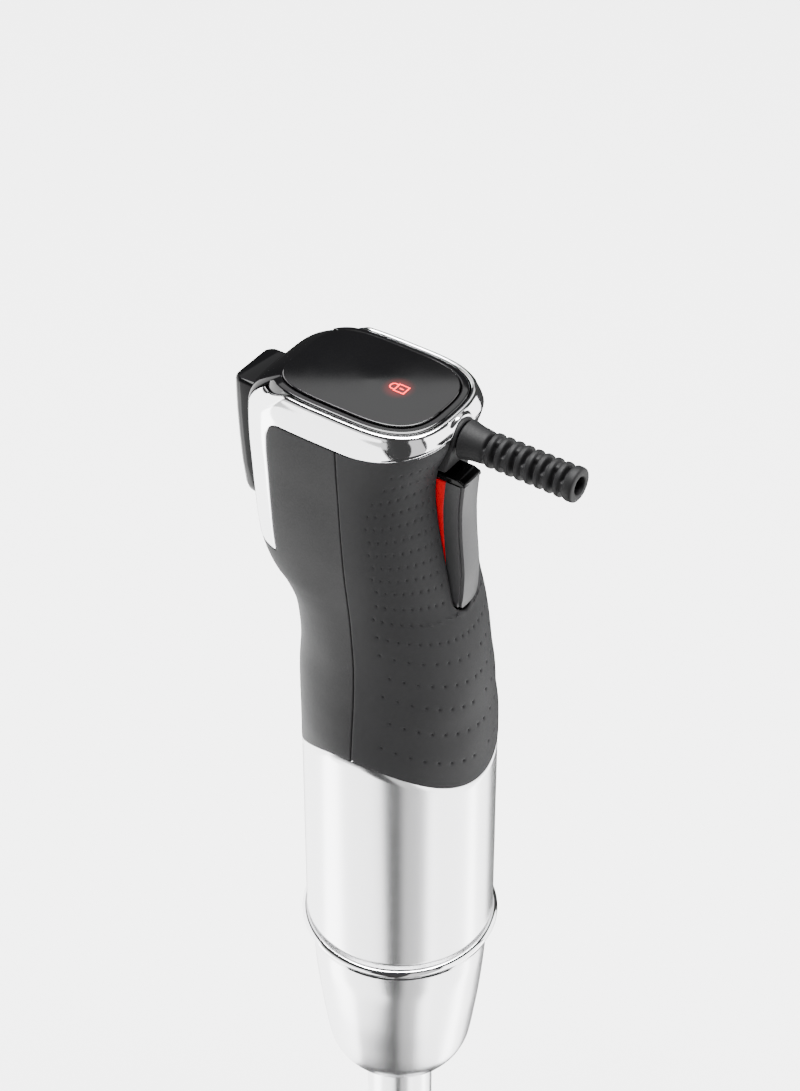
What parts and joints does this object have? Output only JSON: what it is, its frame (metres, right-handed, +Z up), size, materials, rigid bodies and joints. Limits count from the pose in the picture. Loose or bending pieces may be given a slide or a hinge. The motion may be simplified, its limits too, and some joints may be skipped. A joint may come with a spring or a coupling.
{
  "type": "immersion blender",
  "caption": "Upright hand blender: soft grip with squeeze trigger, touch panel and thumb key, steel barrel, twist-lock steel wand with cup, tube, blade guard and blade.",
  "frame": {"origin": "centre of the blade guard's open mouth, on the shaft axis, in the plane of the rim it stands on", "axes": "+Z up the shaft axis to the panel, +Y to the back, where the trigger and the cord boot are, -Y to the thumb key, +X to one side"},
  "size_m": [0.0672, 0.1197, 0.4208],
  "materials": {
    "grip_plastic": "fine satin texture",
    "soft_grip": "soft-touch with small dimples",
    "chrome_trim": "polished",
    "black_gloss": "piano black",
    "red_light": "emissive",
    "red_plastic": "glossy",
    "dark_plastic": "semi-gloss",
    "satin_grey": "satin",
    "barrel_steel": "brushed around the axis",
    "boot_rubber": "matt",
    "inner_plastic": "moulded",
    "steel": "machined",
    "laminated_steel": "stacked sheets",
    "copper_wire": "enamelled",
    "brass": "machined",
    "carbon": "pressed carbon",
    "circuit_board": "solder mask",
    "board_part": "moulded",
    "nylon": "natural nylon",
    "seal_rubber": "silicone"
  },
  "bodies": {
    "wand": {"wand_cup": "barrel_steel", "cup_liner": "inner_plastic", "wand_tube": "barrel_steel", "bell_guard": "barrel_steel", "upper_bush": "brass", "lower_bush": "brass", "shaft_seal": "seal_rubber"},
    "motor_unit": {"front_grip_shell": "grip_plastic", "rear_grip": "soft_grip", "head_trim": "chrome_trim", "head_fascia": "black_gloss", "panel_bezel": "black_gloss", "touch_glass": "black_gloss", "lock_icon": "red_light", "icon_led": "red_light", "control_board": "circuit_board", "barrel_sleeve": "barrel_steel", "base_ring": "chrome_trim", "base_cap": "inner_plastic", "inner_frame": "inner_plastic", "stator_core": "laminated_steel", "field_coils": "copper_wire", "lower_bracket": "steel", "upper_bracket": "steel", "lower_bearing": "steel", "upper_bearing": "steel", "brush_holders": "brass", "carbon_brushes": "carbon", "motor_screws": "steel", "power_board": "circuit_board", "board_parts": "board_part", "switch_carrier": "inner_plastic", "frame_screws": "steel", "trigger_switch": "inner_plastic", "unlock_switch": "inner_plastic", "trigger_pin": "steel", "terminal_block": "nylon", "cord_clamp": "inner_plastic", "clamp_screws": "steel", "boot_collar": "boot_rubber", "cord_boot": "boot_rubber", "trigger_spring": "steel", "unlock_spring": "steel"},
    "rotor": {"motor_shaft": "steel", "armature_core": "laminated_steel", "armature_windings": "copper_wire", "commutator": "copper_wire", "cooling_fan": "inner_plastic", "drive_coupler": "nylon"},
    "drive": {"drive_shaft": "steel", "wand_coupler": "inner_plastic", "blade": "steel", "blade_nut": "steel"},
    "trigger": {"trigger_body": "dark_plastic", "trigger_face": "satin_grey", "trigger_flank": "red_plastic"},
    "plunger": {"switch_plunger": "nylon"},
    "thumb_key": {"unlock_key": "black_gloss"}
  },
  "joints": [
    {"name": "twist_lock", "type": "hinge", "parent": "wand", "child": "motor_unit", "pos_m": [0, 0, 0.19], "axis": [0, 0, 1], "range_deg": [0, 30]},
    {"name": "rotor_spin", "type": "hinge", "parent": "motor_unit", "child": "rotor", "pos_m": [0, 0, 0.245], "axis": [0, 0, 1], "continuous": true},
    {"name": "blade_spin", "type": "hinge", "parent": "motor_unit", "child": "drive", "pos_m": [0, 0, 0.1], "axis": [0, 0, 1], "continuous": true},
    {"name": "trigger_squeeze", "type": "hinge", "parent": "motor_unit", "child": "trigger", "pos_m": [0, 0.016, 0.352], "axis": [1, 0, 0], "range_deg": [0, 6], "stiffness_Nm_per_rad": 2, "springref_deg": -5.73, "deforming": ["trigger_spring"]},
    {"name": "plunger_push", "type": "slide", "parent": "motor_unit", "child": "plunger", "axis": [0, -1, 0], "range_m": [0, 0.0022]},
    {"name": "key_push", "type": "slide", "parent": "motor_unit", "child": "thumb_key", "axis": [0, 1, 0], "range_m": [0, 0.0025], "stiffness_N_per_m": 400, "springref_m": -0.002, "deforming": ["unlock_spring"]}
  ],
  "couplings": [
    {"joint": "blade_spin", "follows": "rotor_spin", "ratio": 1},
    {"joint": "plunger_push", "follows": "trigger_squeeze", "m_per_rad": 0.02}
  ]
}
